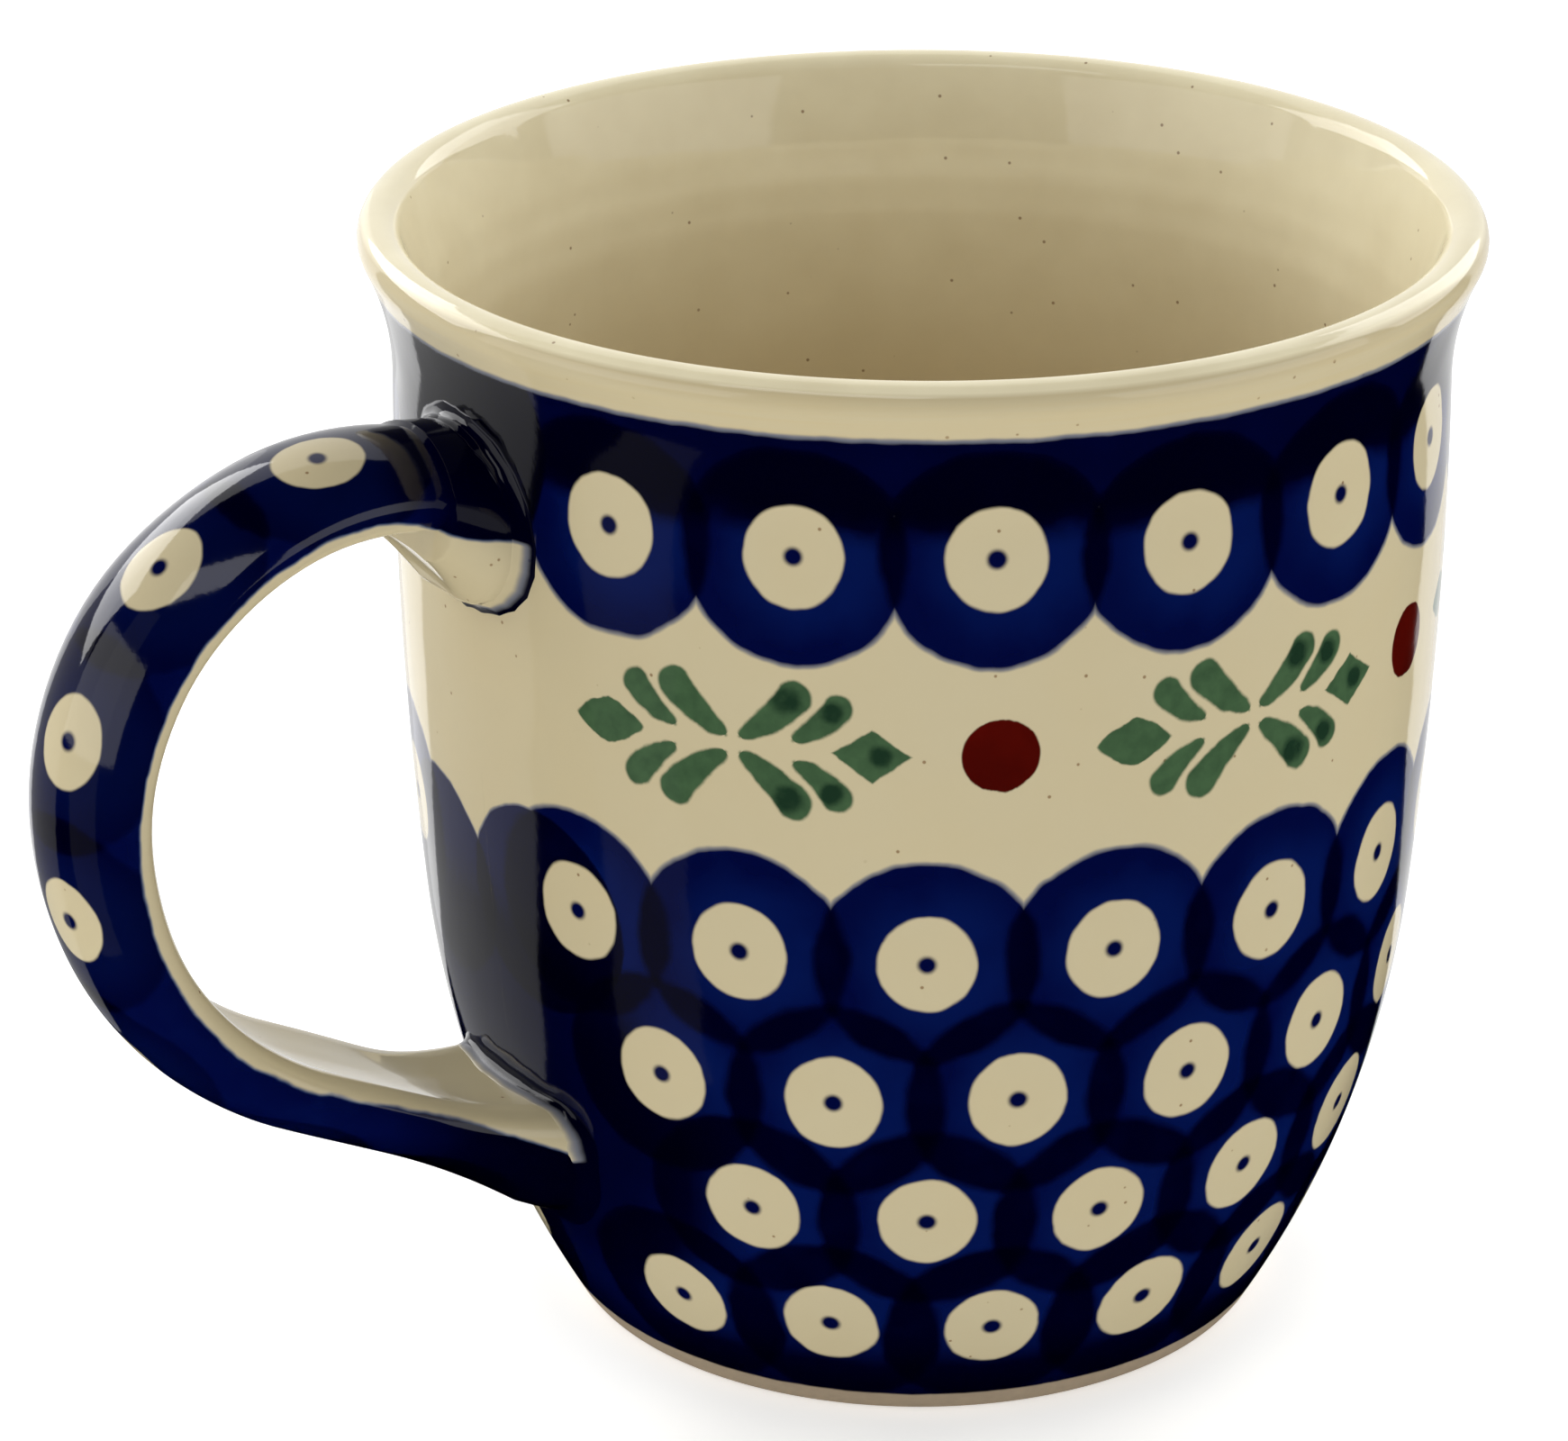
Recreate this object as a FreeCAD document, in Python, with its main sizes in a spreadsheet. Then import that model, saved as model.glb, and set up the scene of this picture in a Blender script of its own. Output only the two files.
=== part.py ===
"""Stoneware mug: a thrown cup with a flared lip and foot ring, a D-section handle and its two slip joints.

Millimetres, +Z up. The origin is on the cup's axis at the plane the foot ring stands on, and the handle
reaches out along -X.
"""
import FreeCAD, Part
import math
import os
import Sketcher

VECTOR = FreeCAD.Vector
START, END, CENTRE = 1, 2, 3
LEVEL_AXIS, UPRIGHT_AXIS = -1, -2
ORIGIN = (LEVEL_AXIS, START)
SKETCH_NORMAL = VECTOR(0, 0, 1)

DIMENSIONS = {
    # cup, outside
    "mug_height": 95.0,
    "foot_radius": 29.8,
    "foot_edge_radius": 30.3,
    "foot_edge_height": 0.6,
    "belly_radius": 41.65,
    "belly_height": 36.0,
    "belly_curve": 90.0,
    "neck_radius": 43.36,
    "neck_height": 82.0,
    "wall_curve": 400.0,
    # lip: a round roll at the top of a gentle flare
    "flare_radius": 45.74,
    "flare_height": 92.47,
    "flare_curve": 23.3,
    "crest_radius": 44.1,
    "lip_curve": 1.8,
    "lip_inner_radius": 42.36,
    "lip_inner_height": 93.67,
    # cup, inside
    "throat_radius": 39.9,
    "throat_height": 80.0,
    "throat_curve": 44.0,
    "bowl_radius": 37.4,
    "bowl_height": 34.0,
    "bowl_curve": 64.0,
    "basin_radius": 31.5,
    "basin_height": 14.0,
    "basin_curve": 11.5,
    "floor_radius": 21.0,
    "floor_height": 7.6,
    # base
    "foot_inner_radius": 26.2,
    "recess_radius": 25.0,
    "recess_depth": 1.6,
    # handle loop, on its centreline
    "loop_reach": 47.0,
    "loop_height": 58.9,
    "loop_radius": 30.1,
    "top_bend_radius": 23.5,
    "arm_start": 34.0,
    "upper_arm_height": 77.9,
    "upper_arm_rise": 12.5,
    "lower_arm_rise": 27.5,
    # handle section: its back is the round outer side, and its flat faces the cup
    "section_corner": 2.0,
    "grip_back": 9.5,
    "grip_crest": 3.8,
    "grip_depth": 2.7,
    # the handle swells where it meets the wall
    "upper_root_start": 40.0,
    "upper_root_end": 51.0,
    "upper_root_back": 9.0,
    "upper_root_crest": 5.0,
    "upper_root_depth": 10.0,
    "lower_root_start": 32.2,
    "lower_root_end": 50.0,
    "lower_root_back": 9.6,
    "lower_root_crest": 5.1,
    "lower_root_depth": 9.0,
    # slip joints: each stands out 0.7 mm all round the handle's end
    "slip_thickness": 0.8,
    "slip_reach": 30.0,
    "upper_slip_back": 9.8,
    "upper_slip_crest": 5.2,
    "upper_slip_depth": 10.0,
    "lower_slip_back": 10.3,
    "lower_slip_crest": 5.6,
    "lower_slip_depth": 6.2,
}


def make_sheet(doc):
    """The driving dimensions, one named cell each."""
    sheet = doc.addObject("Spreadsheet::Sheet", "dims")
    for row, (alias, size) in enumerate(DIMENSIONS.items(), start=1):
        sheet.set(f"A{row}", alias)
        sheet.set(f"B{row}", str(size))
        sheet.setAlias(f"B{row}", alias)
    doc.recompute()
    return sheet


def make_body(doc, label):
    body = doc.addObject("PartDesign::Body", label)
    body.Label = label
    return body


def base_plane(body, role):
    return next(item for item in body.Origin.OriginFeatures if item.Role == role)


def new_sketch(body, name, role, offset=None):
    sketch = body.newObject("Sketcher::SketchObject", name)
    sketch.AttachmentSupport = [(base_plane(body, role), "")]
    sketch.MapMode = "FlatFace"
    if offset is not None:
        sketch.AttachmentOffset = offset
    return sketch


def bind(sketch, constraint, expression):
    """Adds a dimension to the sketch and ties it to the sheet."""
    index = sketch.addConstraint(constraint)
    sketch.setExpression(f"Constraints[{index}]", expression)


def bound_point(sketch, sheet, place, across, up):
    """Holds one end of a curve at a named radius and height; None means on that axis."""
    for kind, alias in (("DistanceX", across), ("DistanceY", up)):
        if alias is None:
            axis = UPRIGHT_AXIS if kind == "DistanceX" else LEVEL_AXIS
            sketch.addConstraint(Sketcher.Constraint("PointOnObject", *place, axis))
        else:
            size = sheet.get(alias)
            bind(sketch, Sketcher.Constraint(kind, *ORIGIN, *place, size), f"dims.{alias}")


def arc_between(first, last, radius, bulge):
    """A minor arc of a given radius; bulge is +1 when it stands out to the right of the chord, -1 to the left."""
    chord = last - first
    across = VECTOR(chord.y, -chord.x, 0).normalize() * bulge
    half = chord.Length / 2
    rise = radius - math.sqrt(radius * radius - half * half)
    return Part.Arc(first, (first + last) / 2 + across * rise, last)


def draw_outline(sketch, sheet, corners, curves):
    """A closed outline. Corners are (radius, height) aliases; after each comes a line, None, or an arc,
    (radius alias, bulge)."""
    places = [VECTOR(sheet.get(x) if x else 0, sheet.get(y) if y else 0, 0) for x, y in corners]
    ends = []
    for index, curve in enumerate(curves):
        first, last = places[index], places[(index + 1) % len(places)]
        if curve is None:
            sketch.addGeometry(Part.LineSegment(first, last))
            ends.append((START, END))
            continue
        alias, bulge = curve
        sketch.addGeometry(arc_between(first, last, sheet.get(alias), bulge))
        ends.append((START, END) if bulge > 0 else (END, START))
    for index in range(len(curves)):
        after = (index + 1) % len(curves)
        joint = Sketcher.Constraint("Coincident", index, ends[index][1], after, ends[after][0])
        sketch.addConstraint(joint)
        bound_point(sketch, sheet, (index, ends[index][0]), *corners[index])
    for index, curve in enumerate(curves):
        if curve is not None:
            size = sheet.get(curve[0])
            bind(sketch, Sketcher.Constraint("Radius", index, size), f"dims.{curve[0]}")


def revolve(body, sketch, name):
    turned = body.newObject("PartDesign::Revolution", name)
    turned.Profile = sketch
    turned.ReferenceAxis = (sketch, ["V_Axis"])
    turned.Angle = 360
    return turned


def wall_outline(corners_before, corners_after):
    """The cup's outer line from its foot edge up to the lip, between other corners of an outline."""
    corners = [
        ("foot_edge_radius", "foot_edge_height"),
        ("belly_radius", "belly_height"),
        ("neck_radius", "neck_height"),
        ("flare_radius", "flare_height"),
    ]
    return corners_before + corners + corners_after


WALL_CURVES = [("belly_curve", 1), ("wall_curve", 1), ("flare_curve", -1)]


def make_cup(doc, sheet):
    """The cup: foot ring, belly, slightly bowed wall, flared lip, hollow inside and recessed base."""
    body = make_body(doc, "cup_body")
    sketch = new_sketch(body, "cup_outline", "XZ_Plane")
    under = [("foot_inner_radius", None), ("foot_radius", None)]
    inside = [
        ("crest_radius", "mug_height"),
        ("lip_inner_radius", "lip_inner_height"),
        ("throat_radius", "throat_height"),
        ("bowl_radius", "bowl_height"),
        ("basin_radius", "basin_height"),
        ("floor_radius", "floor_height"),
        (None, "floor_height"),
        (None, "recess_depth"),
        ("recess_radius", "recess_depth"),
    ]
    lip = [("lip_curve", 1), ("lip_curve", 1), ("throat_curve", 1)]
    bowl = [("wall_curve", -1), ("bowl_curve", -1), ("basin_curve", -1)]
    curves = [None, None] + WALL_CURVES + lip + bowl + [None, None, None, None]
    draw_outline(sketch, sheet, wall_outline(under, inside), curves)
    revolve(body, sketch, "cup_turned")
    return body


def make_wall_blank(doc, sheet):
    """The cup's outer form as one solid, which the handle and the slip are fitted to."""
    body = make_body(doc, "wall_blank")
    sketch = new_sketch(body, "blank_outline", "XZ_Plane")
    corners = wall_outline([], [(None, "flare_height"), (None, "foot_edge_height")])
    draw_outline(sketch, sheet, corners, WALL_CURVES + [None, None, None])
    revolve(body, sketch, "blank_turned")
    return body


def arm_place(sheet, arm, reach):
    """Where an arm's centreline is at a reach from the cup's axis, turned so that a section's +Y is its back."""
    rise = sheet.get(f"{arm}_arm_rise")
    if arm == "upper":
        height = sheet.get("upper_arm_height")
        turn = rise
    else:
        height = lower_arm_height(sheet)
        turn = rise + 180
    height += (reach - sheet.get("arm_start")) * math.tan(math.radians(rise))
    return FreeCAD.Placement(VECTOR(0, height, -reach), FreeCAD.Rotation(VECTOR(1, 0, 0), turn))


def lower_arm_height(sheet):
    """The lower arm runs tangent into the loop, so its height follows from the loop and the arm's rise."""
    rise = math.radians(sheet.get("lower_arm_rise"))
    reach = sheet.get("loop_reach") + sheet.get("loop_radius") * math.sin(rise)
    height = sheet.get("loop_height") - sheet.get("loop_radius") * math.cos(rise)
    return height - (reach - sheet.get("arm_start")) * math.tan(rise)


def draw_section(body, sheet, name, place, part):
    """A D section: a round back, a flat towards the cup and two rounded corners."""
    back = sheet.get(f"{part}_back")
    crest = sheet.get(f"{part}_crest")
    depth = sheet.get(f"{part}_depth")
    corner = sheet.get("section_corner")
    sketch = new_sketch(body, name, "YZ_Plane", place)
    centre = VECTOR(0, crest - back, 0)
    bend_y = corner - depth
    bend_x = math.sqrt((back - corner) ** 2 - (bend_y - centre.y) ** 2)
    lean = math.atan2(bend_y - centre.y, bend_x)
    quarter = math.pi / 2
    back_circle = Part.Circle(centre, SKETCH_NORMAL, back)
    sketch.addGeometry(Part.ArcOfCircle(back_circle, lean, math.pi - lean))
    left_bend = Part.Circle(VECTOR(-bend_x, bend_y, 0), SKETCH_NORMAL, corner)
    sketch.addGeometry(Part.ArcOfCircle(left_bend, math.pi - lean, 3 * quarter))
    sketch.addGeometry(Part.LineSegment(VECTOR(-bend_x, -depth, 0), VECTOR(bend_x, -depth, 0)))
    right_bend = Part.Circle(VECTOR(bend_x, bend_y, 0), SKETCH_NORMAL, corner)
    sketch.addGeometry(Part.ArcOfCircle(right_bend, 3 * quarter, 4 * quarter + lean))
    for index in range(4):
        joint = Sketcher.Constraint("Tangent", index, END, (index + 1) % 4, START)
        sketch.addConstraint(joint)
    sketch.addConstraint(Sketcher.Constraint("PointOnObject", 0, CENTRE, UPRIGHT_AXIS))
    sketch.addConstraint(Sketcher.Constraint("Equal", 1, 3))
    bind(sketch, Sketcher.Constraint("Radius", 1, corner), "dims.section_corner")
    bind(sketch, Sketcher.Constraint("Radius", 0, back), f"dims.{part}_back")
    drop = Sketcher.Constraint("DistanceY", 2, START, *ORIGIN, depth)
    bind(sketch, drop, f"dims.{part}_depth")
    hang = Sketcher.Constraint("DistanceY", 0, CENTRE, *ORIGIN, back - crest)
    bind(sketch, hang, f"dims.{part}_back - dims.{part}_crest")
    return sketch


def draw_spine(body, sheet):
    """The handle's centreline: two straight arms joined by a tighter top bend and the big round of the loop.

    The two bends are drawn meeting at about 45 degrees, and the tangencies settle where they really meet.
    """
    sketch = new_sketch(body, "handle_spine", "XZ_Plane")
    size = sheet.get
    upper = math.radians(size("upper_arm_rise"))
    lower = math.radians(size("lower_arm_rise"))
    loop = VECTOR(-size("loop_reach"), size("loop_height"), 0)
    turn = math.radians(45)
    inset = size("loop_radius") - size("top_bend_radius")
    bend = loop + VECTOR(-inset * math.cos(turn), inset * math.sin(turn), 0)
    top_circle = Part.Circle(bend, SKETCH_NORMAL, size("top_bend_radius"))
    loop_circle = Part.Circle(loop, SKETCH_NORMAL, size("loop_radius"))
    top = Part.ArcOfCircle(top_circle, math.pi / 2 - upper, math.pi - turn)
    round_part = Part.ArcOfCircle(loop_circle, math.pi - turn, 3 * math.pi / 2 - lower)
    first = VECTOR(-size("arm_start"), size("upper_arm_height"), 0)
    last = VECTOR(-size("arm_start"), lower_arm_height(sheet), 0)
    sketch.addGeometry(Part.LineSegment(first, top.value(top.FirstParameter)))
    sketch.addGeometry(top)
    sketch.addGeometry(round_part)
    sketch.addGeometry(Part.LineSegment(round_part.value(round_part.LastParameter), last))
    for index in range(3):
        sketch.addConstraint(Sketcher.Constraint("Tangent", index, END, index + 1, START))
    near = Sketcher.Constraint("DistanceX", 0, START, *ORIGIN, size("arm_start"))
    bind(sketch, near, "dims.arm_start")
    raised = Sketcher.Constraint("DistanceY", *ORIGIN, 0, START, size("upper_arm_height"))
    bind(sketch, raised, "dims.upper_arm_height")
    bind(sketch, Sketcher.Constraint("Radius", 1, size("top_bend_radius")), "dims.top_bend_radius")
    bind(sketch, Sketcher.Constraint("Radius", 2, size("loop_radius")), "dims.loop_radius")
    out = Sketcher.Constraint("DistanceX", 2, CENTRE, *ORIGIN, size("loop_reach"))
    bind(sketch, out, "dims.loop_reach")
    up = Sketcher.Constraint("DistanceY", *ORIGIN, 2, CENTRE, size("loop_height"))
    bind(sketch, up, "dims.loop_height")
    home = Sketcher.Constraint("DistanceX", 3, END, *ORIGIN, size("arm_start"))
    bind(sketch, home, "dims.arm_start")
    rise = Sketcher.Constraint("Angle", LEVEL_AXIS, START, 0, END, -upper)
    bind(sketch, rise, "-1 deg * dims.upper_arm_rise")
    fall = Sketcher.Constraint("Angle", LEVEL_AXIS, START, 3, START, -lower)
    bind(sketch, fall, "-1 deg * dims.lower_arm_rise")
    return sketch


def add_root(body, sheet, arm):
    """The swelling of one arm from the grip's section to the wider one at the wall."""
    start = arm_place(sheet, arm, sheet.get(f"{arm}_root_start"))
    end = arm_place(sheet, arm, sheet.get(f"{arm}_root_end"))
    loft = body.newObject("PartDesign::AdditiveLoft", f"{arm}_root")
    loft.Profile = draw_section(body, sheet, f"{arm}_root_wide", start, f"{arm}_root")
    loft.Sections = [draw_section(body, sheet, f"{arm}_root_slim", end, "grip")]
    loft.Ruled = True


def make_loop(doc, sheet):
    """The whole handle before its ends are coped to the wall."""
    body = make_body(doc, "handle_loop")
    spine = draw_spine(body, sheet)
    start = arm_place(sheet, "upper", sheet.get("arm_start"))
    section = draw_section(body, sheet, "grip_section", start, "grip")
    doc.recompute()
    pipe = body.newObject("PartDesign::AdditivePipe", "grip")
    pipe.Profile = section
    pipe.Spine = (spine, [f"Edge{number}" for number in range(1, 5)])
    doc.recompute()
    add_root(body, sheet, "upper")
    doc.recompute()
    add_root(body, sheet, "lower")
    return body


def combine(doc, kind, label, base, tool):
    result = doc.addObject(kind, label)
    result.Label = label
    result.Base = base
    result.Tool = tool
    return result


def make_slip(doc, sheet, arm, shell):
    """A thin pad of slip that follows the wall and stands out a little all round the handle's end."""
    block = make_body(doc, f"{arm}_slip_block")
    place = arm_place(sheet, arm, sheet.get(f"{arm}_root_start"))
    pad = block.newObject("PartDesign::Pad", f"{arm}_slip_pad")
    pad.Profile = draw_section(block, sheet, f"{arm}_slip_section", place, f"{arm}_slip")
    pad.Midplane = True
    pad.setExpression("Length", "dims.slip_reach")
    return combine(doc, "Part::Common", f"{arm}_handle_lute", shell, block)


def make_mug(doc):
    sheet = make_sheet(doc)
    cup = make_cup(doc, sheet)
    blank = make_wall_blank(doc, sheet)
    loop = make_loop(doc, sheet)
    doc.recompute()
    seat = doc.addObject("Part::Offset", "slip_seat")
    seat.Source = blank
    seat.setExpression("Value", "dims.slip_thickness")
    shell = combine(doc, "Part::Cut", "slip_shell", seat, blank)
    handle = combine(doc, "Part::Cut", "handle", loop, seat)
    slips = [make_slip(doc, sheet, arm, shell) for arm in ("upper", "lower")]
    doc.recompute()
    return [cup, handle] + slips


def check(doc, pieces):
    failed = [item.Name for item in doc.Objects if {"Invalid", "Error"} & set(item.State)]
    if failed:
        raise RuntimeError(f"objects failed: {failed}")
    for piece in pieces:
        shape = piece.Shape
        if shape.isNull() or not shape.isValid() or len(shape.Solids) != 1:
            raise RuntimeError(f"{piece.Label} is not one valid solid")


def main():
    doc = FreeCAD.newDocument("mug")
    pieces = make_mug(doc)
    check(doc, pieces)
    os.makedirs("parts", exist_ok=True)
    for piece in pieces:
        piece.Shape.exportStep(f"parts/{piece.Label}.step")
        print(piece.Label, round(piece.Shape.Volume), "mm3")


main()
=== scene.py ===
"""A glazed stoneware mug with a hand-stamped pattern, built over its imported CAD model.

Drawing sizes are in millimetres, and MM turns them into the scene's metres. +Z is up, and the handle is
along -X. An angle round the cup starts at the handle and grows towards the camera's side.
"""
import math

import bmesh
import bpy
import numpy as np
from mathutils import Matrix, Vector, noise


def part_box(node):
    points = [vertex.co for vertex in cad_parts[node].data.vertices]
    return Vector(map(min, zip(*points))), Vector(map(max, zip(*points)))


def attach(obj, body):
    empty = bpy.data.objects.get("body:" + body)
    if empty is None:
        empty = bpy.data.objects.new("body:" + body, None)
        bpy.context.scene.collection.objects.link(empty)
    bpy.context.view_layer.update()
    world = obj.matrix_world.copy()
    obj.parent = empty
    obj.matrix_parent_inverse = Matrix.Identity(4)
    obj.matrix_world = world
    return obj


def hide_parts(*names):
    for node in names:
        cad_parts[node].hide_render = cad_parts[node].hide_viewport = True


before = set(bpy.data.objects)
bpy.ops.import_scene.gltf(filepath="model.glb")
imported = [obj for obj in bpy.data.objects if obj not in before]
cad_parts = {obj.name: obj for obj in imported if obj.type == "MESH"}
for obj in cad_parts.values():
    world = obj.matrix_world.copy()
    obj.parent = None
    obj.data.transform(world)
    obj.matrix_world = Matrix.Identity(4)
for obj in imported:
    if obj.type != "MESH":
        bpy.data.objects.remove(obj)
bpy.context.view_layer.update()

MUG_HEIGHT = 95.0
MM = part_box("cup_body")[1].z / MUG_HEIGHT

# cup profile: (radius, height) corners, and between them arcs as (radius, side), side +1 bulging outwards;
# the foot ring's edges are only eased, without arcs
RECESS = 1.6
FOOT = [(25.1, 1.45), (25.9, 0.25), (26.5, 0.0), (29.5, 0.0), (30.0, 0.2)]
WALL = [(30.3, 0.6), (41.65, 36.0), (43.36, 82.0), (45.74, 92.47)]
WALL_ARCS = [(90.0, 1), (400.0, 1), (23.3, -1)]
INSIDE = [WALL[-1], (44.1, 95.0), (42.36, 93.67), (39.9, 80.0), (37.4, 34.0), (31.5, 14.0), (21.0, 7.6)]
INSIDE_ARCS = [(1.8, 1), (1.8, 1), (44.0, 1), (400.0, -1), (64.0, -1), (11.5, -1)]
TURNS = 384
WALL_STEPS = [30, 34, 14]
INSIDE_STEPS = [8, 8, 14, 30, 20, 14]
AXIS_GAP = 0.01
# how far the lip is out of round, and the faint throwing rings inside: depth, closeness and height range
OUT_OF_ROUND = 0.16
RING_DEPTH = 0.05
RING_CLOSENESS = 1.9
RING_RANGE = (10.0, 88.0)

# handle centreline
LOOP_CENTRE = Vector((47.0, 58.9))
LOOP_RADIUS = 30.1
TOP_RADIUS = 23.5
ARM_START = 34.0
UPPER_HEIGHT = 77.9
UPPER_RISE = math.radians(12.5)
LOWER_RISE = math.radians(27.5)

# handle section sizes: back radius, height of the crest, depth of the flat and corner radius
GRIP = (9.5, 3.8, 2.7, 2.0)
UPPER_ROOT = (9.1, 4.6, 9.3, 6.0)
LOWER_ROOT = (9.6, 5.2, 6.6, 2.6)
# the length over which a root turns into the grip
FLARE = 13.0
INNER_HOLLOW = 0.45
BACK_STEPS = 16
CORNER_STEPS = 6
FLAT_STEPS = 6
UPPER_STEPS = 26
BEND_STEPS = 34
LOWER_STEPS = 28
# reaches between which an arm meets the wall, how often that span is halved, and how deep its end goes in
MEETING_SPAN = (20.0, 56.0)
HALVINGS = 34
SUNK = 1.1
# how unsteady the hand-made handle is, except near its ends: by how much, how near, and over what length
HANDLE_SWAY = 0.18
STILL_END = 4.0
SWAY_RISE = 12.0
SWAY_SEED = 7

# slip joints: how far the band runs onto the handle and onto the wall, and the points across it
LUTE_ON_HANDLE = 1.5
LUTE_ON_WALL = 1.3
LUTE_STEPS = 7
# how far its face stands out in the corner, and how deep its back lies below the surfaces and in the corner
LUTE_CROWN = 0.12
LUTE_BURIED = 0.7
LUTE_DEEP = 0.8
# how far its two edges go below the wall and below the handle
LUTE_WALL_EDGE = 0.05
LUTE_HANDLE_EDGE = 0.06


def arc(start, end, radius, side, steps):
    """Points from start towards end on a minor arc, without the end itself."""
    start, end = Vector(start), Vector(end)
    chord = end - start
    middle = (start + end) / 2
    across = Vector((chord.y, -chord.x)).normalized() * side
    centre = middle - across * math.sqrt(radius**2 - (chord.length / 2) ** 2)
    first = math.atan2(*(start - centre).yx)
    turn = math.atan2(*(end - centre).yx) - first
    turn = math.remainder(turn, 2 * math.pi)
    return [
        centre + Vector((math.cos(first + turn * i / steps), math.sin(first + turn * i / steps))) * radius
        for i in range(steps)
    ]


def chain(corners, arcs, steps):
    points = []
    for index, (radius, side) in enumerate(arcs):
        points += arc(corners[index], corners[index + 1], radius, side, steps[index])
    return points


def wall_line():
    return chain(WALL, WALL_ARCS, WALL_STEPS) + [Vector(WALL[-1])]


WALL_R = np.array([p.x for p in wall_line()])
WALL_Z = np.array([p.y for p in wall_line()])


def wall_radius(height):
    return float(np.interp(height, WALL_Z, WALL_R))


def cup_line():
    """The profile from the middle of the base round the outside and down to the middle of the floor."""
    base = [Vector((r, RECESS)) for r in (AXIS_GAP, 8.0, 16.0, 22.0, 24.4)]
    ring = [Vector(p) for p in FOOT]
    inside = chain(INSIDE, INSIDE_ARCS, INSIDE_STEPS)
    floor = [Vector((r, INSIDE[-1][1])) for r in (INSIDE[-1][0], 15.0, 8.0, AXIS_GAP)]
    return base + ring + wall_line()[:-1] + inside + floor


def new_piece(name, vertices, faces, node_names, material):
    mesh = bpy.data.meshes.new(name)
    mesh.from_pydata([Vector(v) * MM for v in vertices], [], faces)
    piece = bpy.data.objects.new(name, mesh)
    bpy.context.scene.collection.objects.link(piece)
    shape = bmesh.new()
    shape.from_mesh(mesh)
    bmesh.ops.recalc_face_normals(shape, faces=shape.faces)
    shape.to_mesh(mesh)
    shape.free()
    mesh.shade_smooth()
    mesh.materials.append(material)
    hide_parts(*node_names)
    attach(piece, "root")
    return piece


def grid_faces(rows, columns, first=0):
    """Quads of a grid whose columns close on themselves."""
    faces = []
    for i in range(rows - 1):
        for j in range(columns):
            k = (j + 1) % columns
            a, b = first + i * columns, first + (i + 1) * columns
            faces.append((a + j, a + k, b + k, b + j))
    return faces


def store(mesh, name, values):
    """Keeps three numbers on each vertex, which the material reads."""
    layer = mesh.attributes.new(name, "FLOAT_VECTOR", "POINT")
    layer.data.foreach_set("vector", np.array(values, np.float32).ravel())


def unroll(mesh, columns, levels):
    """Flat coordinates for a grid that closes on itself; levels is each row's share of the way."""
    layer = mesh.uv_layers.new(name="OFBake")
    for face in mesh.polygons:
        spots = [divmod(mesh.loops[i].vertex_index, columns) for i in face.loop_indices]
        across = [column for _, column in spots]
        wraps = len(spots) == 4 and max(across) - min(across) > 1
        for i, (row, column) in zip(face.loop_indices, spots):
            turn = columns if wraps and column == 0 else column
            layer.data[i].uv = (turn / columns, levels[row])


def shares(lengths):
    """Running totals of the lengths, from 0 to 1."""
    totals = np.concatenate(([0.0], np.cumsum(lengths)))
    return (totals / totals[-1]).tolist()


# ---------------------------------------------------------------- shapes


def make_cup(material):
    """The thrown cup, a little out of round, with faint throwing rings inside."""
    line = cup_line()
    vertices = []
    outside = len(line) - sum(INSIDE_STEPS)
    for index, point in enumerate(line):
        for turn in range(TURNS):
            angle = 2 * math.pi * turn / TURNS
            around = Vector((math.cos(angle), math.sin(angle)))
            level = point.y / MUG_HEIGHT
            sway = noise.noise(Vector((around.x, around.y, level * 1.5)) * 1.1) * OUT_OF_ROUND * level
            grow = sway if point.x > 1 else 0
            if index > outside and RING_RANGE[0] < point.y < RING_RANGE[1]:
                grow += RING_DEPTH * math.sin(point.y * RING_CLOSENESS + angle)
            radius = point.x + grow
            vertices.append((radius * around.x, radius * around.y, point.y))
    faces = grid_faces(len(line), TURNS)
    faces.append(tuple(range(TURNS)))
    last = (len(line) - 1) * TURNS
    faces.append(tuple(range(last, last + TURNS)))
    piece = new_piece("glazed_cup", vertices, faces, ["cup_body"], material)
    notes = [(float(index > outside), 0.0, 0.0) for index in range(len(line)) for _ in range(TURNS)]
    store(piece.data, "lining", notes)
    unroll(piece.data, TURNS, shares([math.dist(a, b) for a, b in zip(line, line[1:])]))


def section(sizes, hollow):
    """A D section's points, from the crest down one side, over the flat and up again: (across, up, way)."""
    back, crest, depth, corner = sizes
    centre = crest - back
    drop = (corner - depth) - centre
    run = math.sqrt(max((back - corner) ** 2 - drop**2, 0.01))
    lean = math.atan2(drop, run)
    half = []
    for step in range(BACK_STEPS + 1):
        angle = math.pi / 2 + (lean - math.pi / 2) * step / BACK_STEPS
        half.append((back * math.cos(angle), centre + back * math.sin(angle)))
    for step in range(1, CORNER_STEPS + 1):
        angle = lean + (-math.pi / 2 - lean) * step / CORNER_STEPS
        half.append((run + corner * math.cos(angle), corner - depth + corner * math.sin(angle)))
    for step in range(1, FLAT_STEPS + 1):
        share = 1 - step / FLAT_STEPS
        half.append((run * share, hollow * (1 - share**2) - depth))
    way = [0.0]
    for a, b in zip(half, half[1:]):
        way.append(way[-1] + math.dist(a, b))
    right = [(x, y, w) for (x, y), w in zip(half, way)]
    left = [(-x, y, -w) for x, y, w in right[-2:0:-1]]
    return right + left


def mix_sizes(one, other, share):
    return tuple(a + (b - a) * share for a, b in zip(one, other))


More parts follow.
